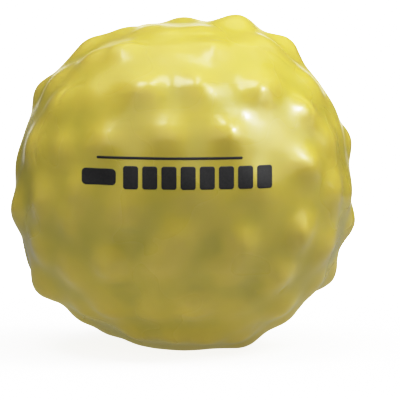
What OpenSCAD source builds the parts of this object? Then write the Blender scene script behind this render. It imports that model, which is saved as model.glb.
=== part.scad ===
// Soft weighted exercise ball: a lumpy one-piece vinyl skin, a plug valve at its back and a loose sand fill.
// Z is up with the rest patch on z = 0, the printed side faces -Y and the valve faces +Y.

/* [Skin] */
// Radius of the round body under the lumps
body_r = 78.5; // [77.5:0.5:84]
// Height of a full-size lump
lump_h = 4.6; // [2:0.1:8]
// Angle from a lump's crest to where it has faded, in degrees
lump_w = 7.5; // [5:0.1:9]
// The same angle for the lumps of the printed face
face_w = 6.2; // [5:0.1:9]
// Height of the body's centre above the floor
centre_h = 79.4; // [79:0.1:82]
// How far the slack crown sinks
crown_sink = 3.4; // [0:0.1:4]
// How far the lower half bulges under its own weight
belly = 1; // [0:0.1:3]
// Radius of the hollow inside the skin
hollow_r = 75.5; // [70:0.5:75.5]
// How far the hollow's centre is below the body's centre
hollow_drop = 1.5; // [0:0.1:2]

/* [Valve] */
// Radius of the valve seat's outer collar
collar_r = 9; // [8:0.5:12]
// Thickness of that collar
collar_t = 1.8; // [1.5:0.1:2.5]
// Radius of the valve seat's barrel
barrel_r = 6.4; // [5.5:0.1:7]
// Radius of the filling hole through the seat
fill_hole_r = 4; // [3:0.1:4.5]
// Radius of the plug's head
plug_head_r = 5.4; // [5:0.1:5.8]
// Thickness of the plug's head
plug_head_t = 1.5; // [1.2:0.1:2]
// Radius of the air needle's channel in the plug
needle_r = 1.2; // [0.8:0.1:1.5]
// Radius of the self-sealing core in the plug
core_r = 2.4; // [2:0.1:2.8]
// Length of that core
core_len = 5; // [3:0.5:6]

/* [Fill] */
// Depth of the settled sand at its middle
sand_depth = 42; // [20:1:60]

/* [Hidden] */
columns = 108;
rings = 54;
round_fn = 96;
hollow_fn = 200;
// How far from the rest patch's middle, in degrees, the skin is pressed out by its load
rest_spread = 20;
rest_bulge = 3;
belly_el = -38;
belly_spread = 28;
// The smooth pad around the valve
pad_clear = 15;
pad_r = body_r + 2.2;
running_gap = 0.05;
collar_gap = 0.1;
wall_gap = 0.4;
collar_top = pad_r + 0.2;
barrel_end = 70.5;
flange_r = 10;
flange_t = 1.5;
flange_top = hollow_r - 1;
plug_top = collar_top - 0.2;
plug_end = barrel_end - 1.5;
vinyl = [0.83, 0.78, 0.30];
vinyl_dark = [0.72, 0.67, 0.25];
plug_grey = [0.86, 0.86, 0.82];
core_black = [0.12, 0.12, 0.12];
sand_tan = [0.76, 0.66, 0.47];

// Broad swells and hollows of the slack body, as [azimuth, elevation, height, spread in degrees].
// Azimuth 0 is the printed side and grows towards +X.
swells = [
    [105, 60, 2.6, 24], [-82, -64, -2.6, 18], [-78, -32, 1.8, 20],
    [95, -25, 1, 26], [-97, 6, -1.5, 12], [0, 62, 0.8, 26]
];

// Lumps of the printed face, as [azimuth, elevation, height as a share of lump_h].
// A hollow has a negative share.
face_lumps = [
    // crown
    [-62, 77, 0.4], [30, 76, 0.3], [-20, 74, 0.3],
    // upper ring
    [22, 59, 0.6], [-8, 58, 0.2], [-44, 57, 0.7], [-62, 52, 0.6], [48, 58, 0.4],
    // second ring
    [-43, 35, 0.3], [-22, 38, 0.5], [-14, 39, 0.5], [6, 40, 0.6],
    [35, 37, 0.9], [45, 41, 0.5], [56, 28, 0.85],
    // third ring
    [-48, 15, 0.6], [-30, 18, 0.65], [-6, 21, 0.5], [17, 21, 0.75],
    // waist
    [-38, 1, 0.6], [-18, 3, 0.3], [3, 3, 0.3], [27, 3, 0.4], [49, 9, 0.9],
    // first ring below
    [-42, -10, 0.6], [-20, -6, 0.6], [-2, -15, 0.6], [20, -17, 0.8], [46, -14, 0.9],
    // second ring below
    [-47, -28, 0.8], [-28, -25, 1], [-8, -23, 0.9], [16, -26, 0.5], [40, -30, 0.9],
    // third ring below
    [-57, -47, 0.6], [-38, -43, 0.8], [-15, -44, 0.5], [5, -42, 0.9],
    [27, -42, 0.5], [36, -52, 0.5], [56, -45, 0.8],
    // around the rest patch
    [-34, -60, 0.7], [-6, -60, 0.8], [19, -61, 0.8], [46, -62, 0.8],
    // hollows
    [-3, 38, -0.2], [-20, -15, -0.5], [13, -18, -0.5], [32, -34, -0.5], [8, -32, -0.4], [-25, -36, -0.4]
];

// Wider lumps at the two sides of the face and on the crown, as above
side_lumps = [
    // crown
    [98, 71, 1.35], [-105, 68, 0.7], [127, 65, 1.6], [180, 78, 0.85],
    // upper rings
    [70, 58, 0.8], [104, 52, 1.5], [-106, 55, 1.2], [-100, 45, 0.5], [98, 37, 0.45],
    [-60, 31, 0.7], [75, 37, 0.7], [90, 27, 0.5], [-82, 38, 0.6], [-103, 32, 1.4],
    // waist
    [65, 17, 0.7], [81, 18, 0.5], [-67, 15, 0.8], [-93, 8, 0.6], [-93, 20, 0.25], [99, 14, 1.25],
    [64, -1, 0.8], [82, -3, 0.5], [91, 2, 0.25], [-56, -4, 0.9], [-81, -9, 1], [-93, 0, 0.3],
    // lower rings
    [64, -20, 0.8], [96, -14, 1.3], [-62, -20, 0.8], [-93, -22, 0.35],
    [76, -36, 0.6], [97, -33, 1.5], [-76, -35, 1.5], [78, -52, 0.8], [-82, -53, 0.9],
    [108, -52, 0.9], [82, -68, 1], [-73, -72, 0.5]
];

// Rings of evenly spaced lumps over the valve side, as [elevation, first azimuth, last azimuth, count]
back_rings = [
    [66, 170, 215, 2], [50, 140, 216, 4], [35, 118, 233, 7],
    [20, 125, 152, 2], [22, 208, 246, 3], [3, 112, 148, 3], [5, 212, 250, 3],
    [-14, 118, 252, 8], [-31, 120, 262, 8], [-47, 132, 256, 6], [-63, 122, 262, 4], [-78, 180, 180, 1]
];

function heading(az, el) = [sin(az) * cos(el), -cos(az) * cos(el), sin(el)];
function along(a, b, k, n) = n < 2 ? a : a + (b - a) * k / (n - 1);
function total(v) = [for (x = v) 1] * v;
function fade(angle, spread) = exp(-pow(angle / spread, 2));
function smooth(t) = let (u = max(0, min(1, t))) u * u * (3 - 2 * u);

back_lumps = [
    for (r = back_rings) for (k = [0 : r[3] - 1]) [along(r[1], r[2], k, r[3]), r[0], 1]
];
// Each lump as [heading, share, spread]
lumps = [
    for (b = face_lumps) [heading(b[0], b[1]), b[2], face_w],
    for (b = concat(side_lumps, back_lumps)) [heading(b[0], b[1]), b[2], lump_w]
];
reach = cos(3 * max(lump_w, face_w));

function relief(d) = lump_h * total([
    for (b = lumps) let (c = d * b[0]) c > reach ? b[1] * fade(acos(min(1, c)), b[2]) : 0
]);

function body_radius(d, el) =
    body_r
    - crown_sink * pow(max(0, sin(el)), 4)
    + belly * fade(el - belly_el, belly_spread)
    + rest_bulge * fade(90 + el, rest_spread)
    + total([for (w = swells) w[2] * fade(acos(min(1, d * heading(w[0], w[1]))), w[3])]);

// Distance from the centre to the skin's outside: lumps, then the valve's pad, then the floor
function skin_radius(d, el) =
    let (
        lumpy = body_radius(d, el) + relief(d),
        pad = 1 - smooth((acos(max(-1, min(1, d[1]))) - pad_clear / 2) / pad_clear),
        level = pad_r / max(0.5, d[1]),
        r = lumpy + (level - lumpy) * pad
    )
    d[2] < 0 ? min(r, centre_h / -d[2]) : r;

function ring_el(j) = -90 + 180 * j / rings;
function ring_az(i, j) = 360 * (i + (j % 2) / 2) / columns;

ring_points = [
    for (j = [1 : rings - 1]) for (i = [0 : columns - 1])
        let (d = heading(ring_az(i, j), ring_el(j))) d * skin_radius(d, ring_el(j))
];
bottom_point = [0, 0, -centre_h];
top_point = [0, 0, skin_radius([0, 0, 1], 90)];
skin_points = concat(ring_points, [bottom_point, top_point]);
bottom = len(ring_points);
top = bottom + 1;

function at(i, j) = (j - 1) * columns + (i % columns);

side_faces = [
    for (j = [1 : rings - 2]) for (i = [0 : columns - 1])
        let (
            a = at(i, j),
            b = at(i + 1, j),
            c = at(i, j + 1),
            e = at(i + 1, j + 1)
        )
        each (j % 2 == 0 ? [[a, c, b], [b, c, e]] : [[a, e, b], [a, c, e]])
];
bottom_faces = [for (i = [0 : columns - 1]) [bottom, at(i, 1), at(i + 1, 1)]];
top_faces = [for (i = [0 : columns - 1]) [top, at(i + 1, rings - 1), at(i, rings - 1)]];
skin_faces = concat(side_faces, bottom_faces, top_faces);

// Stands a shape that is drawn along +Z on the valve's axis, from start outwards
module on_valve_axis(start) {
    translate([0, start, centre_h]) rotate([-90, 0, 0]) children();
}

module rod(r, from, to) {
    on_valve_axis(from) cylinder(h = to - from, r = r, $fn = round_fn);
}

module skin() {
    color(vinyl) difference() {
        translate([0, 0, centre_h])
            polyhedron(points = skin_points, faces = skin_faces, convexity = 6);
        translate([0, 0, centre_h - hollow_drop]) sphere(r = hollow_r, $fn = hollow_fn);
        rod(barrel_r, hollow_r - 4, pad_r + 4);
        rod(collar_r + collar_gap, collar_top - collar_t, pad_r + 4);
    }
}

module valve_seat() {
    color(vinyl_dark) difference() {
        union() {
            rod(collar_r, collar_top - collar_t, collar_top);
            rod(barrel_r, barrel_end, collar_top - collar_t);
            rod(flange_r, flange_top - flange_t, flange_top);
        }
        rod(fill_hole_r, barrel_end - 1, collar_top + 1);
        rod(plug_head_r + collar_gap, plug_top - plug_head_t - running_gap, collar_top + 1);
    }
}

module valve_plug() {
    color(plug_grey) difference() {
        union() {
            rod(plug_head_r, plug_top - plug_head_t, plug_top);
            rod(fill_hole_r - running_gap, plug_end, plug_top - plug_head_t);
        }
        rod(needle_r, plug_end - 1, plug_top + 1);
        rod(core_r, plug_end - 1, plug_end + core_len);
    }
}

module valve_core() {
    color(core_black) rod(core_r, plug_end, plug_end + core_len);
}

module sand_fill() {
    sand_r = hollow_r - wall_gap;
    hollow_z = centre_h - hollow_drop;
    color(sand_tan) intersection() {
        translate([0, 0, hollow_z]) sphere(r = sand_r, $fn = hollow_fn);
        translate([-hollow_r, -hollow_r, hollow_z - sand_r - 1])
            cube([2 * hollow_r, 2 * hollow_r, sand_depth + 1]);
    }
}

skin();
valve_seat();
valve_plug();
valve_core();
sand_fill();
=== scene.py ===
import math

import bmesh
import bpy
import numpy as np
from mathutils import Matrix, Vector, kdtree
from mathutils.bvhtree import BVHTree


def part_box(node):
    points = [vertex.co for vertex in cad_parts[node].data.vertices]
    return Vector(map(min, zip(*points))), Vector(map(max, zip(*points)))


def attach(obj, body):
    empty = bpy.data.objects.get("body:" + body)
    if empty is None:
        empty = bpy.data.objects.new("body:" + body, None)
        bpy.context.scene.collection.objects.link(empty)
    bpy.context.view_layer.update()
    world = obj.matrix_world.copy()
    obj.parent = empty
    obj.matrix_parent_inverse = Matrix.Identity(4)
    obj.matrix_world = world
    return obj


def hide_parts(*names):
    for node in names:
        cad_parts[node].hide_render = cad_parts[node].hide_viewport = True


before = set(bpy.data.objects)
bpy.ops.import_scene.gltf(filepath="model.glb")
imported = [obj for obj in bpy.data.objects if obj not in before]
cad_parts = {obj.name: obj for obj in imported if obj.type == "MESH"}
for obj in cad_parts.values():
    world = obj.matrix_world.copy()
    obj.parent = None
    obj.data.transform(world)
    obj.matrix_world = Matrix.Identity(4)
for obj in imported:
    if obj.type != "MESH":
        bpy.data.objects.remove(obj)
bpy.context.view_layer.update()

MM = 0.001
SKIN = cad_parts["skin"]
SEAT_LOW, SEAT_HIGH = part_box("valve_seat")
PLUG_LOW, PLUG_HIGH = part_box("valve_plug")
# The valve's axis runs along +Y through the middle of the ball's round body
CENTRE = Vector((0.0, 0.0, (PLUG_LOW.z + PLUG_HIGH.z) / 2))
COLLAR_R = (SEAT_HIGH.z - SEAT_LOW.z) / 2
# A distance from the middle that is well clear of the ball
OUTSIDE = 0.2


def heading(azimuth, elevation):
    """Unit vector; azimuth 0 is the printed side and grows towards +X."""
    a, e = math.radians(azimuth), math.radians(elevation)
    return np.array([math.sin(a) * math.cos(e), -math.cos(a) * math.cos(e), math.sin(e)])


# ---------------------------------------------------------------- skin

# Times the round mesh's triangles are divided, for the skin and for rougher jobs
SKIN_LEVEL = 8
ROUGH_LEVEL = 5
# The samples that each point of the skin is smoothed from, and how fast their weight fades
NEAR_COUNT = 30
NEAR_SPREAD = math.radians(3.3)
# Samples are at least the first gap apart, and no place is farther than the second from one
SAMPLE_GAP = math.radians(2.1)
FILL_GAP = math.radians(2.7)
# The spread that averages the lumps out
BROAD_SPREAD = math.radians(12)
# Points nearer to the hollow than this belong to the wall's inside
INNER_LAYER = 3.6 * MM
# Points this near to the collar's edge are left out, and a flat pad at least this much wider replaces them
SEAT_STRIP = 1.2 * MM
PAD_STRIP = 1.5 * MM
# Directions whose Y is more than this are on the valve's side, where the pad is
VALVE_SIDE = 0.5
# Points this near to the floor rest on it
TOUCH = 0.01 * MM
# Directions that point down more than this may reach the floor
FLOOR_DOWN = 0.3
# Added to each fit, so that it always has an answer
SOLVE_GUARD = 1e-7
# Rows that are worked on at once, so that the tables stay small
BROAD_BATCH = 1000
NEAR_BATCH = 20000


def icosphere(level):
    """A round mesh of radius 1 m about the origin."""
    mesh = bpy.data.meshes.new("round")
    bm = bmesh.new()
    bmesh.ops.create_icosphere(bm, subdivisions=level, radius=1.0)
    bm.to_mesh(mesh)
    bm.free()
    return mesh


def vertex_array(mesh):
    """The mesh's points, one to a row."""
    co = np.zeros(len(mesh.vertices) * 3)
    mesh.vertices.foreach_get("co", co)
    return co.reshape(-1, 3)


def tree_of(points):
    tree = kdtree.KDTree(len(points))
    for i, p in enumerate(points):
        tree.insert(p, i)
    tree.balance()
    return tree


def chord(angle):
    """The straight distance between two unit vectors that are angle apart."""
    return 2 * math.sin(angle / 2)


def thinned(directions, gap):
    """Indices of directions that are at least gap apart, taken in order."""
    tree = tree_of(directions)
    taken = np.ones(len(directions), bool)
    reach = chord(gap)
    for i, d in enumerate(directions):
        if taken[i]:
            for _, j, _ in tree.find_range(d, reach):
                if j > i:
                    taken[j] = False
    return np.flatnonzero(taken)


def skin_samples():
    """Directions and distances from CENTRE of points that lie exactly on the CAD skin's outside."""
    centre = np.array(CENTRE)
    co = vertex_array(SKIN.data) - centre
    axis_gap = np.hypot(co[:, 0], co[:, 2])
    by_valve = (co[:, 1] > 0) & (axis_gap < COLLAR_R + SEAT_STRIP)
    pad_y = co[by_valve, 1].max()
    distance = np.linalg.norm(co, axis=1)
    on_floor = co[:, 2] < -CENTRE.z + TOUCH
    keep = (distance > distance.min() + INNER_LAYER) & ~by_valve | on_floor
    co, distance = co[keep], distance[keep]
    directions = co / distance[:, None]
    chosen = thinned(directions, SAMPLE_GAP)
    directions, distance = directions[chosen], distance[chosen]
    # flat places have no vertices inside them, so they are read from the faces
    tree = tree_of(directions)
    bvh = BVHTree.FromPolygons(
        [tuple(v.co) for v in SKIN.data.vertices], [tuple(p.vertices) for p in SKIN.data.polygons]
    )
    extra_d, extra_r = [], []
    for d in vertex_array(icosphere(ROUGH_LEVEL)):
        d = d / np.linalg.norm(d)
        if tree.find(d)[2] < chord(FILL_GAP):
            continue
        if d[1] > VALVE_SIDE and pad_y * math.hypot(d[0], d[2]) / d[1] < COLLAR_R + PAD_STRIP:
            r = pad_y / d[1]
        else:
            hit = bvh.ray_cast(CENTRE + Vector(d) * OUTSIDE, -Vector(d))[0]
            r = (hit - CENTRE).length
        extra_d.append(d)
        extra_r.append(r)
    if extra_d:
        directions = np.vstack([directions, extra_d])
        distance = np.concatenate([distance, extra_r])
    return directions, distance, pad_y


def broad_distance(directions, distance):
    """The distance with the lumps averaged out."""
    out = np.empty(len(distance))
    for start in range(0, len(distance), BROAD_BATCH):
        part = slice(start, start + BROAD_BATCH)
        w = np.exp((directions[part] @ directions.T - 1) * 2 / BROAD_SPREAD**2)
        out[part] = w @ distance / w.sum(1)
    return out


def smooth_values(targets, directions, values):
    """Each column of values, smoothed over the sphere by a quadratic through the nearest samples."""
    tree = tree_of(directions)
    near = np.array([[j for _, j, _ in tree.find_n(t, NEAR_COUNT)] for t in targets])
    helper = np.where(np.abs(targets[:, 2:3]) < 0.9, [[0.0, 0.0, 1.0]], [[1.0, 0.0, 0.0]])
    e1 = np.cross(helper, targets)
    e1 /= np.linalg.norm(e1, axis=1, keepdims=True)
    e2 = np.cross(targets, e1)
    out = np.empty((len(targets), values.shape[1]))
    for start in range(0, len(targets), NEAR_BATCH):
        part = slice(start, start + NEAR_BATCH)
        d = directions[near[part]]
        u = np.einsum("nkc,nc->nk", d, e1[part])
        v = np.einsum("nkc,nc->nk", d, e2[part])
        # the weight reaches nothing at the farthest sample, so that no step shows where the samples change
        gap = u * u + v * v
        w = np.exp(-gap / NEAR_SPREAD**2) * (1 - gap / gap.max(1, keepdims=True)) ** 2
        u, v = u / NEAR_SPREAD, v / NEAR_SPREAD
        basis = np.stack([np.ones_like(u), u, v, u * u, u * v, v * v], -1)
        left = np.einsum("nki,nk,nkj->nij", basis, w, basis) + SOLVE_GUARD * np.eye(6)
        right = np.einsum("nki,nk,nkv->niv", basis, w, values[near[part]])
        out[part] = np.linalg.solve(left, right)[:, 0]
    return out


# Faint creases where a lump meets the body: azimuth, elevation, length, turn from level and bow, all in
# degrees, and depth in mm
CREASES = [
    (-52, 34, 13, 62, 20, 0.45),
    (-59, 14, 13, 85, 14, 0.35),
    (51, 29, 14, -68, 18, 0.4),
    (60, 50, 16, -38, 14, 0.4),
    (28, 62, 9, -12, 8, 0.3),
    (-37, 60, 12, 20, 10, 0.35),
    (-34, 19, 5, 70, 4, 0.25),
]
CREASE_W = math.radians(1.1)
CREASE_POINTS = 15
# Moulding blemishes: azimuth, elevation and radius in degrees, and depth in mm
DENTS = [(46.5, -35, 1.5, 0.35), (45.8, -36.6, 0.9, 0.25), (33.6, -36.7, 0.7, 0.3)]


def crease_points(azimuth, elevation, length, turn, bow):
    """Points along a short bowed line on the unit sphere, and how far along it each is, from -1 to 1."""
    c = heading(azimuth, elevation)
    east = np.array([math.cos(math.radians(azimuth)), math.sin(math.radians(azimuth)), 0.0])
    north = np.cross(c, east)
    north *= np.sign(north[2])
    along = east * math.cos(math.radians(turn)) + north * math.sin(math.radians(turn))
    across = np.cross(c, along)
    t = np.linspace(-1, 1, CREASE_POINTS)
    a = t * math.radians(length) / 2
    b = (1 - t * t) * math.radians(bow) / 4
    p = c + np.outer(a, along) + np.outer(b, across)
    return p / np.linalg.norm(p, axis=1, keepdims=True), t


def fine_relief(targets):
    """Metres to add for the creases and blemishes, which are too fine for the CAD skin's facets."""
    out = np.zeros(len(targets))
    for azimuth, elevation, length, turn, bow, depth in CREASES:
        line, t = crease_points(azimuth, elevation, length, turn, bow)
        gap = np.arccos(np.clip(targets @ line.T, -1, 1))
        nearest = gap.argmin(1)
        share = np.exp(-(gap.min(1) / CREASE_W) ** 2) * (1 - t[nearest] ** 2) ** 0.75
        out -= depth * MM * share
    for azimuth, elevation, radius, depth in DENTS:
        gap = np.arccos(np.clip(targets @ heading(azimuth, elevation), -1, 1))
        out -= depth * MM * np.exp(-(gap / math.radians(radius)) ** 2)
    return out


def carve(obj, cutter):
    """Subtracts cutter from obj for good."""
    cut = obj.modifiers.new("cut", "BOOLEAN")
    cut.operation = "DIFFERENCE"
    cut.solver = "EXACT"
    cut.object = cutter
    bpy.context.view_layer.update()
    deps = bpy.context.evaluated_depsgraph_get()
    mesh = bpy.data.meshes.new_from_object(obj.evaluated_get(deps))
    obj.modifiers.clear()
    obj.data = mesh
    bpy.data.objects.remove(cutter)


def add_mesh(name, points, faces):
    mesh = bpy.data.meshes.new(name)
    mesh.from_pydata([tuple(p) for p in points], [], faces)
    mesh.update()
    obj = bpy.data.objects.new(name, mesh)
    bpy.context.scene.collection.objects.link(obj)
    return obj


def lathe(name, profile, segments=96):
    """Closed solid turned about the valve's axis from (radius, y) pairs that start and end on the axis."""
    points, rings = [], []
    for r, y in profile:
        if r < 1e-9:
            rings.append([len(points)])
            points.append((0.0, y, CENTRE.z))
        else:
            rings.append(list(range(len(points), len(points) + segments)))
            for k in range(segments):
                a = 2 * math.pi * k / segments
                points.append((r * math.cos(a), y, CENTRE.z + r * math.sin(a)))
    faces = []
    for lower, upper in zip(rings, rings[1:]):
        for k in range(segments):
            n = (k + 1) % segments
            if len(lower) == 1:
                faces.append((lower[0], upper[k], upper[n]))
            elif len(upper) == 1:
                faces.append((lower[k], upper[0], lower[n]))
            else:
                faces.append((lower[k], upper[k], upper[n], lower[n]))
    obj = add_mesh(name, points, faces)
    bm = bmesh.new()
    bm.from_mesh(obj.data)
    bmesh.ops.recalc_face_normals(bm, faces=bm.faces)
    bm.to_mesh(obj.data)
    bm.free()
    return obj


# How far the valve hole's cutter reaches past the skin on the inside and on the outside
INNER_PAST = 5 * MM
OUTER_PAST = 3 * MM
# The hole's mouth widens by the first of these between the two depths that follow, seen from the pad
EASE_WIDTH = 0.6 * MM
EASE_START = 0.4 * MM
EASE_END = 0.1 * MM
# Points whose radii differ by less than this are on one ring
SAME_RADIUS = 0.05 * MM


def valve_opening(cad_points, pad_y):
    """Outline of the hole that the CAD skin leaves for the valve seat, with its mouth eased."""
    axis_gap = np.hypot(cad_points[:, 0], cad_points[:, 2] - CENTRE.z)
    by_valve = (cad_points[:, 1] > 0) & (axis_gap < COLLAR_R)
    gap, y = axis_gap[by_valve], cad_points[by_valve, 1]
    bore_r = gap.min()
    rim_r = np.median(gap[gap > bore_r + MM])
    shoulder = y[np.abs(gap - rim_r) < SAME_RADIUS].min()
    inner_y = SEAT_LOW.y - INNER_PAST
    outer_y = pad_y + OUTER_PAST
    mouth_r = rim_r + EASE_WIDTH
    return [
        (0, inner_y), (bore_r, inner_y), (bore_r, shoulder), (rim_r, shoulder),
        (rim_r, pad_y - EASE_START), (mouth_r, pad_y + EASE_END), (mouth_r, outer_y), (0, outer_y),
    ]


# The points that are nearer to the middle than the collar's top, by this or more, reach sideways as far as
# the hollow does
WALL_ROOM = 3 * MM
# The hollow's middle is this far below the ball's
HOLLOW_DROP = 1.5 * MM


def hollow_cutter(cad_points):
    """The CAD skin's hollow as a sphere."""
    inner = np.linalg.norm(cad_points - np.array(CENTRE), axis=1) < SEAT_HIGH.y - WALL_ROOM
    hollow_r = np.ptp(cad_points[inner, 0]) / 2
    place = Matrix.Translation((0, 0, CENTRE.z - HOLLOW_DROP))
    hollow = bpy.data.objects.new("hollow", icosphere(ROUGH_LEVEL))
    bpy.context.scene.collection.objects.link(hollow)
    hollow.data.transform(place @ Matrix.Scale(hollow_r, 4))
    return hollow


def build_skin():
    """The lumpy skin with its hollow and valve hole, and the outside alone as a tree that rays can hit."""
    directions, distance, pad_y = skin_samples()
    mesh = icosphere(SKIN_LEVEL)
    targets = vertex_array(mesh)
    targets /= np.linalg.norm(targets, axis=1, keepdims=True)
    samples = np.stack([distance, distance - broad_distance(directions, distance)], 1)
    r, height = smooth_values(targets, directions, samples).T
    r = r + fine_relief(targets)
    down = -targets[:, 2]
    r = np.where(down > FLOOR_DOWN, np.minimum(r, CENTRE.z / np.maximum(down, FLOOR_DOWN)), r)
    points = np.array(CENTRE) + targets * r[:, None]
    mesh.vertices.foreach_set("co", points.ravel())
    # the height above the averaged body drives the painted shade in the skin's colour
    mesh.attributes.new("height", "FLOAT", "POINT").data.foreach_set("value", height)
    mesh.update()
    obj = bpy.data.objects.new("ball_skin", mesh)
    bpy.context.scene.collection.objects.link(obj)
    outer = BVHTree.FromPolygons(
        [tuple(p) for p in points], [tuple(p.vertices) for p in mesh.polygons]
    )
    cad_points = vertex_array(SKIN.data)
    carve(obj, hollow_cutter(cad_points))
    carve(obj, lathe("opening", valve_opening(cad_points, pad_y)))
    for p in obj.data.polygons:
        p.use_smooth = True
    return obj, outer


# ---------------------------------------------------------------- materials


def material(name):
    """A new node material: itself, its nodes and links, its shader and the object's own coordinates."""
    mat = bpy.data.materials.new(name)
    mat.use_nodes = True
    nodes, links = mat.node_tree.nodes, mat.node_tree.links
    shader = nodes["Principled BSDF"]
    coords = nodes.new("ShaderNodeTexCoord")
    return mat, nodes, links, shader, coords.outputs["Object"]


def noise(nodes, links, coords, scale, detail=3.0, roughness=0.5):
    n = nodes.new("ShaderNodeTexNoise")
    n.inputs["Scale"].default_value = scale
    n.inputs["Detail"].default_value = detail
    n.inputs["Roughness"].default_value = roughness
    links.new(coords, n.inputs["Vector"])
    return n.outputs["Fac"]


def ramp(nodes, links, source, stops):
    """Colour that follows source through (place, colour) stops."""
    r = nodes.new("ShaderNodeValToRGB")
    e = r.color_ramp.elements
    while len(e) < len(stops):
        e.new(0.5)
    for element, (at, colour) in zip(e, stops):
        element.position = at
        element.color = (*colour, 1.0)
    links.new(source, r.inputs["Fac"])
    return r.outputs["Color"]


def span(nodes, links, source, low, high, to_low, to_high):
    """Source from low to high, turned into to_low to to_high and held there beyond."""
    m = nodes.new("ShaderNodeMapRange")
    for name, value in (("From Min", low), ("From Max", high), ("To Min", to_low), ("To Max", to_high)):
        m.inputs[name].default_value = value
    links.new(source, m.inputs["Value"])
    return m.outputs["Result"]


def bump(nodes, links, height, strength, distance):
    b = nodes.new("ShaderNodeBump")
    b.inputs["Strength"].default_value = strength
    b.inputs["Distance"].default_value = distance
    links.new(height, b.inputs["Height"])
    return b.outputs["Normal"]


def combined(nodes, links, operation, first, second):
    """First and second added or multiplied, as operation says."""
    m = nodes.new("ShaderNodeMath")
    m.operation = operation
    links.new(first, m.inputs[0])
    links.new(second, m.inputs[1])
    return m.outputs[0]


def skin_vinyl():
    mat, nodes, links, shader, coords = material("skin_vinyl")
    # painted shade: the hollows between the lumps are painted darker and greener and the crests lighter,
    # following the height attribute; the cloudy noise adds a random tone
    height = nodes.new("ShaderNodeAttribute")
    height.attribute_name = "height"
    painted_relief_shade = span(nodes, links, height.outputs["Fac"], -1.5 * MM, 2 * MM, 0.0, 0.6)
    cloudy = span(nodes, links, noise(nodes, links, coords, 40.0, 2.0), 0.25, 0.75, 0.0, 0.4)
    shade = combined(nodes, links, "ADD", painted_relief_shade, cloudy)
    # painted light: the colour is painted lighter towards the top of the ball
    split = nodes.new("ShaderNodeSeparateXYZ")
    links.new(coords, split.inputs[0])
    painted_top_light = span(nodes, links, split.outputs["Z"], 0.125, 0.15, 0.0, 0.25)
    tint = ramp(nodes, links, combined(nodes, links, "ADD", shade, painted_top_light), [
        (0.15, (0.57, 0.485, 0.058)), (0.45, (0.69, 0.56, 0.071)), (0.8, (0.74, 0.59, 0.09))])
    links.new(tint, shader.inputs["Base Color"])
    wiped = noise(nodes, links, coords, 30.0, 1.0, 0.5)
    links.new(span(nodes, links, wiped, 0.3, 0.7, 0.26, 0.3), shader.inputs["Roughness"])
    peel = noise(nodes, links, coords, 700.0, 2.0)
    links.new(bump(nodes, links, peel, 0.01, 0.0002), shader.inputs["Normal"])
    shader.inputs["IOR"].default_value = 1.5
    shader.inputs["Subsurface Weight"].default_value = 0.25
    shader.inputs["Subsurface Radius"].default_value = (1.0, 0.8, 0.25)
    shader.inputs["Subsurface Scale"].default_value = 0.004
    shader.inputs["Coat Weight"].default_value = 0.3
    shader.inputs["Coat Roughness"].default_value = 0.12
    return mat


def valve_vinyl():
    mat, nodes, links, shader, coords = material("valve_vinyl")
    cloudy = noise(nodes, links, coords, 90.0, 2.0)
    tint = ramp(nodes, links, cloudy, [(0.3, (0.50, 0.42, 0.06)), (0.7, (0.60, 0.52, 0.09))])
    links.new(tint, shader.inputs["Base Color"])
    links.new(span(nodes, links, cloudy, 0.3, 0.7, 0.3, 0.42), shader.inputs["Roughness"])
    grain = noise(nodes, links, coords, 2500.0, 2.0)
    links.new(bump(nodes, links, grain, 0.15, 0.0001), shader.inputs["Normal"])
    shader.inputs["Subsurface Weight"].default_value = 0.15
    shader.inputs["Subsurface Radius"].default_value = (1.0, 0.8, 0.25)
    shader.inputs["Subsurface Scale"].default_value = 0.002
    return mat


def plug_plastic():
    mat, nodes, links, shader, coords = material("plug_plastic")
    cloudy = noise(nodes, links, coords, 200.0, 3.0)
    tint = ramp(nodes, links, cloudy, [(0.3, (0.62, 0.61, 0.56)), (0.7, (0.72, 0.71, 0.66))])
    links.new(tint, shader.inputs["Base Color"])
    links.new(span(nodes, links, cloudy, 0.3, 0.7, 0.38, 0.5), shader.inputs["Roughness"])
    grain = noise(nodes, links, coords, 3000.0, 2.0)
    links.new(bump(nodes, links, grain, 0.2, 0.0001), shader.inputs["Normal"])
    return mat


def core_rubber():
    mat, nodes, links, shader, coords = material("core_rubber")
    grain = noise(nodes, links, coords, 1800.0, 3.0)
    links.new(ramp(nodes, links, grain, [(0.3, (0.012, 0.012, 0.012)), (0.7, (0.03, 0.03, 0.03))]),
              shader.inputs["Base Color"])
    links.new(span(nodes, links, grain, 0.3, 0.7, 0.6, 0.8), shader.inputs["Roughness"])
    links.new(bump(nodes, links, grain, 0.3, 0.0001), shader.inputs["Normal"])
    return mat


def fill_sand():
    mat, nodes, links, shader, coords = material("fill_sand")
    grain = noise(nodes, links, coords, 1500.0, 4.0, 0.7)
    links.new(ramp(nodes, links, grain, [(0.35, (0.30, 0.21, 0.10)), (0.65, (0.62, 0.5, 0.3))]),
              shader.inputs["Base Color"])
    links.new(span(nodes, links, grain, 0.3, 0.7, 0.8, 0.95), shader.inputs["Roughness"])
    links.new(bump(nodes, links, grain, 0.9, 0.0006), shader.inputs["Normal"])
    return mat


def print_ink():
    mat, nodes, links, shader, coords = material("print_ink")
    grain = noise(nodes, links, coords, 900.0, 3.0)
    links.new(ramp(nodes, links, grain, [(0.3, (0.010, 0.010, 0.011)), (0.7, (0.02, 0.019, 0.02))]),
              shader.inputs["Base Color"])
    links.new(span(nodes, links, grain, 0.3, 0.7, 0.55, 0.65), shader.inputs["Roughness"])
    shader.inputs["Specular IOR Level"].default_value = 0.3
    return mat


def dress(obj, mat):
    """Gives obj its looks."""
    obj.data.materials.clear()
    obj.data.materials.append(mat)


# ---------------------------------------------------------------- printed mark

# The ink stands this high on the skin, and its underside is sunk this deep in it
INK_T = 0.06 * MM
INK_SUNK = INK_T * 0.5
# Size of the bars' grid, and the least it may have
CELL = 0.5 * MM
MIN_COLUMNS = 4
MIN_ROWS = 3
CORNER_STEPS = 6
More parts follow.
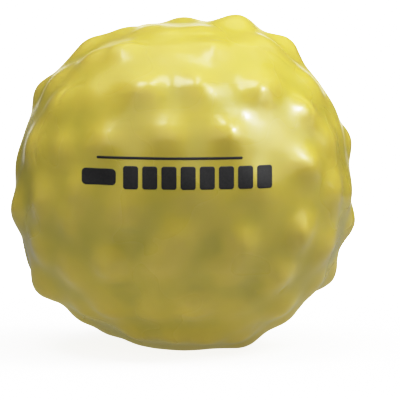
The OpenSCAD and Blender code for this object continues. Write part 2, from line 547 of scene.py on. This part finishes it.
# Faces of the ink whose normal's Y is more than this are its top and underside; the rest are its thin sides
TOP_SIDE = 0.5
# Each bar: left, right, bottom, top and corner radius, in mm from the ball's middle
LINE = (-40, 28, 17.2, 18.4, 0.6)
BROAD_BAR = (-47, -31, 5.0, 12.6, 2.0)
FIRST_BLOCK = (-27.6, -20.6, 3.5, 14.1, 1.2)
BLOCK_COUNT = 8
BLOCK_PITCH = 8.9


def bar_grid(x0, x1, z0, z1, radius):
    """Columns of (x, z) points of an upright or level bar with rounded corners."""
    columns = max(MIN_COLUMNS, round((x1 - x0) / CELL))
    rows = max(MIN_ROWS, round((z1 - z0) / CELL))
    half = (z1 - z0) / 2
    mid = (z1 + z0) / 2
    # the corners need closer columns than the straight middle
    bend = [radius * (1 - math.cos(math.pi / 2 * k / CORNER_STEPS)) for k in range(CORNER_STEPS)]
    straight = [x0 + radius + (x1 - x0 - 2 * radius) * k / columns for k in range(columns + 1)]
    xs = [x0 + b for b in bend] + straight + [x1 - b for b in reversed(bend)]
    grid = []
    for x in xs:
        inset = radius - min(x - x0, x1 - x, radius)
        cut = radius - math.sqrt(max(0.0, radius**2 - inset**2))
        reach = half - cut
        grid.append([(x, mid + reach * (2 * k / rows - 1)) for k in range(rows + 1)])
    return grid


def printed_bar(name, outer, x0, x1, z0, z1, radius):
    """One bar of ink, wrapped on the skin's front as a closed thin layer."""
    grid = bar_grid(x0, x1, z0, z1, radius)
    rows = len(grid[0])
    base, top = [], []
    for column in grid:
        for x, z in column:
            hit, normal, _, _ = outer.ray_cast(Vector((x, -OUTSIDE, CENTRE.z + z)), Vector((0, 1, 0)))
            base.append(hit - normal * INK_SUNK)
            top.append(hit + normal * INK_T)
    count = len(base)
    faces = []
    for i in range(len(grid) - 1):
        for j in range(rows - 1):
            a, b = i * rows + j, (i + 1) * rows + j
            faces.append((count + a, count + b, count + b + 1, count + a + 1))
            faces.append((a, a + 1, b + 1, b))
    edge = [i * rows for i in range(len(grid))]
    edge += [(len(grid) - 1) * rows + j for j in range(1, rows)]
    edge += [i * rows + rows - 1 for i in range(len(grid) - 2, -1, -1)]
    edge += [j for j in range(rows - 2, 0, -1)]
    for k, a in enumerate(edge):
        b = edge[(k + 1) % len(edge)]
        faces.append((a, b, count + b, count + a))
    obj = add_mesh(name, base + top, faces)
    for p in obj.data.polygons:
        p.use_smooth = abs(p.normal.y) > TOP_SIDE
    return obj


def build_mark(outer, ink):
    """A plain generic mark: a thin line above, one rounded bar and a row of upright blocks."""
    left, right, *rest = FIRST_BLOCK
    blocks = [(left + k * BLOCK_PITCH, right + k * BLOCK_PITCH, *rest) for k in range(BLOCK_COUNT)]
    for k, (x0, x1, z0, z1, radius) in enumerate([LINE, BROAD_BAR, *blocks]):
        bar = printed_bar(f"printed_mark_{k + 1}", outer, x0 * MM, x1 * MM, z0 * MM, z1 * MM, radius * MM)
        dress(bar, ink)
        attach(bar, "ball")


# ---------------------------------------------------------------- valve and sand

# The CAD nodes that are seen as they are: looks, the record's slot and how much their edges are rounded
CAD_PIECES = {
    "valve_seat": (valve_vinyl, "valve_vinyl", 0.35 * MM),
    "valve_plug": (plug_plastic, "plug_plastic", 0.25 * MM),
    "valve_core": (core_rubber, "core_rubber", 0.15 * MM),
    "sand_fill": (fill_sand, "fill_sand", 1.0 * MM),
}


# Edges that turn more than this are rounded
EDGE_ANGLE = math.radians(40)
ROUND_SEGMENTS = 3


def soften(obj, width):
    """Rounds a CAD node's edges without changing its mesh."""
    b = obj.modifiers.new("rounded", "BEVEL")
    b.width = width
    b.segments = ROUND_SEGMENTS
    b.limit_method = "ANGLE"
    b.angle_limit = EDGE_ANGLE


def dress_cad_pieces():
    for name, (make_material, slot, width) in CAD_PIECES.items():
        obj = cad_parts[name]
        dress(obj, make_material())
        soften(obj, width)


# ---------------------------------------------------------------- stage

FLOOR_R = 0.62
FLOOR_SIDES = 96


def split_by_camera(nodes, links, unseen, seen):
    """One surface for the lens and another for every other ray."""
    path = nodes.new("ShaderNodeLightPath")
    mix = nodes.new("ShaderNodeMixShader")
    links.new(path.outputs["Is Camera Ray"], mix.inputs["Fac"])
    links.new(unseen.outputs[0], mix.inputs[1])
    links.new(seen.outputs[0], mix.inputs[2])
    return mix.outputs[0]


def build_floor():
    """A pale table top, clean white to the lens but for the soft shade near the ball, with a painted glow
    that lights the ball from below.
    """
    turn = [2 * math.pi * k / FLOOR_SIDES for k in range(FLOOR_SIDES)]
    rim = [(FLOOR_R * math.cos(a), FLOOR_R * math.sin(a), 0.0) for a in turn]
    floor = add_mesh("floor", rim, [tuple(range(FLOOR_SIDES))])
    mat, nodes, links, table, coords = material("floor")
    length = nodes.new("ShaderNodeVectorMath")
    length.operation = "LENGTH"
    links.new(coords, length.inputs[0])
    radius = length.outputs["Value"]
    table.inputs["Base Color"].default_value = (0.26, 0.26, 0.26, 1)
    table.inputs["Roughness"].default_value = 0.9
    table.inputs["Specular IOR Level"].default_value = 0.0
    table.inputs["Emission Color"].default_value = (1.0, 0.95, 0.6, 1)
    # painted bounce light: to every ray but the lens the table glows warm yellow onto the ball; the glow is
    # least right under the ball, a painted shade, and none far away
    near = span(nodes, links, radius, 0.03, 0.08, 0.26, 0.36)
    far = span(nodes, links, radius, 0.07, 0.17, 1.0, 0.0)
    links.new(combined(nodes, links, "MULTIPLY", near, far), table.inputs["Emission Strength"])
    seen = nodes.new("ShaderNodeBsdfPrincipled")
    seen.inputs["Base Color"].default_value = (0.9, 0.9, 0.9, 1)
    seen.inputs["Specular IOR Level"].default_value = 0.0
    seen.inputs["Emission Color"].default_value = (1, 1, 1, 1)
    links.new(span(nodes, links, radius, 0.08, 0.45, 1.2, 3.0), seen.inputs["Emission Strength"])
    links.new(split_by_camera(nodes, links, table, seen), nodes["Material Output"].inputs["Surface"])
    floor.data.materials.append(mat)


def build_world():
    """White to the lens; on the ball it is faint, and bright only from straight behind."""
    world = bpy.data.worlds.new("studio")
    bpy.context.scene.world = world
    world.use_nodes = True
    nodes, links = world.node_tree.nodes, world.node_tree.links
    background = nodes["Background"]
    background.inputs["Color"].default_value = (1, 1, 1, 1)
    coords = nodes.new("ShaderNodeTexCoord")
    split = nodes.new("ShaderNodeSeparateXYZ")
    links.new(coords.outputs["Generated"], split.inputs[0])
    links.new(span(nodes, links, split.outputs["Y"], 0.95, 0.985, 0.04, 1.3), background.inputs["Strength"])
    seen = nodes.new("ShaderNodeBackground")
    seen.inputs["Color"].default_value = (1, 1, 1, 1)
    seen.inputs["Strength"].default_value = 3.2
    links.new(split_by_camera(nodes, links, background, seen), nodes["World Output"].inputs["Surface"])


# Each softbox: azimuth and elevation seen from the ball (degrees), distance, width and height (m), power (W),
# and what it does: "light" shades only, "card" is only seen as a reflection, "lamp" does both
SOFTBOXES = {
    "key_right": (88, 43, 1.1, 0.6, 0.6, 8.4, "light"),
    "key_glow": (70, 28, 1.1, 1.1, 0.95, 4.5, "card"),
    "key_middle": (67, 34, 1.1, 0.6, 0.5, 2.4, "card"),
    "key_panel": (63, 40, 1.1, 0.3, 0.25, 1.5, "card"),
    "key_core": (68, 45, 1.1, 0.11, 0.11, 3.0, "card"),
    "panel_right": (100, 25, 1.2, 0.6, 0.8, 1.0, "light"),
    "panel_left": (-75, -3, 1.5, 1.5, 1.0, 4.2, "light"),
    "front_low": (-5, -14, 0.2, 0.36, 0.07, 0.02, "light"),
    "front_high": (-15, 38, 2.0, 2.4, 1.2, 7.5, "lamp"),
}
# Each panel of the lamp overhead, level and 1 m above the ball's middle: x, y, width and depth (m), power (W)
OVERHEAD_HEIGHT = 1.0
OVERHEAD = {
    "overhead_left": (-0.31, -0.18, 0.38, 0.36, 3.8),
    "overhead_middle": (0.12, -0.18, 0.17, 0.36, 1.7),
    "overhead_right": (0.56, -0.2, 0.28, 0.30, 1.4),
    "overhead_back_left": (-0.4, 0.1, 0.16, 0.2, 0.45),
    "overhead_back_right": (0.16, 0.09, 0.22, 0.22, 0.9),
    "overhead_wide": (0.15, 0.1, 1.8, 1.5, 5.8),
}

# A film-like shoulder: brightness above the knee is rolled off towards white
TONE_KNEE = 0.5
TONE_WHITE = 3.0
TONE_POINTS = (0.25, 0.5, 0.65, 0.8, 1.0, 1.25, 1.6, 2.1)


def build_tone():
    """The curve from light to brightness seen, straight up to the knee and rolled off above it."""
    view = bpy.context.scene.view_settings
    view.view_transform = "Standard"
    view.use_curve_mapping = True
    curves = view.curve_mapping
    curves.white_level = (TONE_WHITE, TONE_WHITE, TONE_WHITE)
    whole = curves.curves[3]
    room = 1 - TONE_KNEE
    for light in TONE_POINTS:
        seen = light if light < TONE_KNEE else TONE_KNEE + room * (1 - math.exp((TONE_KNEE - light) / room))
        whole.points.new(light / TONE_WHITE, seen)
    curves.update()


def add_softbox(name, place, width, height, power):
    """An oblong lamp at place, turned to the ball's middle."""
    light = bpy.data.lights.new(name, "AREA")
    light.shape = "RECTANGLE"
    light.size, light.size_y = width, height
    light.energy = power
    obj = bpy.data.objects.new(name, light)
    obj.location = place
    obj.rotation_euler = (CENTRE - place).to_track_quat("-Z", "Y").to_euler()
    bpy.context.scene.collection.objects.link(obj)
    return obj


def build_stage():
    build_floor()
    build_world()
    for name, (azimuth, elevation, distance, width, height, power, does) in SOFTBOXES.items():
        place = CENTRE + Vector(heading(azimuth, elevation)) * distance
        lamp = add_softbox(name, place, width, height, power)
        lamp.visible_diffuse = does != "card"
        lamp.visible_glossy = does != "light"
        lamp.visible_camera = False
    for name, (x, y, width, depth, power) in OVERHEAD.items():
        lamp = add_softbox(name, CENTRE + Vector((x, y, OVERHEAD_HEIGHT)), width, depth, power)
        lamp.rotation_euler = (0, 0, 0)
    build_tone()


# The camera's distance and the width that it frames at the ball (m)
CAMERA_DISTANCE = 2.4
FRAMED_WIDTH = 0.1917
# Its angle above level
CAMERA_UP = math.radians(5.0)
# How far the ball sits to the left of and above the picture's middle, as a share of the picture's width
CAMERA_SHIFT = 0.04375


def build_camera():
    """A long lens a little above the ball's middle, as the object is seen."""
    camera = bpy.data.cameras.new("camera")
    camera.sensor_width = 36.0
    camera.lens = camera.sensor_width * CAMERA_DISTANCE / FRAMED_WIDTH
    camera.clip_end = 20
    camera.shift_x = CAMERA_SHIFT
    camera.shift_y = -CAMERA_SHIFT
    obj = bpy.data.objects.new("camera", camera)
    away = Vector((0, -math.cos(CAMERA_UP), math.sin(CAMERA_UP)))
    obj.location = CENTRE + away * CAMERA_DISTANCE
    obj.rotation_euler = (CENTRE - obj.location).to_track_quat("-Z", "Y").to_euler()
    bpy.context.scene.collection.objects.link(obj)
    bpy.context.scene.camera = obj


build_camera()
build_stage()

skin, skin_outside = build_skin()
dress(skin, skin_vinyl())
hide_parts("skin")
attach(skin, "ball")
build_mark(skin_outside, print_ink())
dress_cad_pieces()
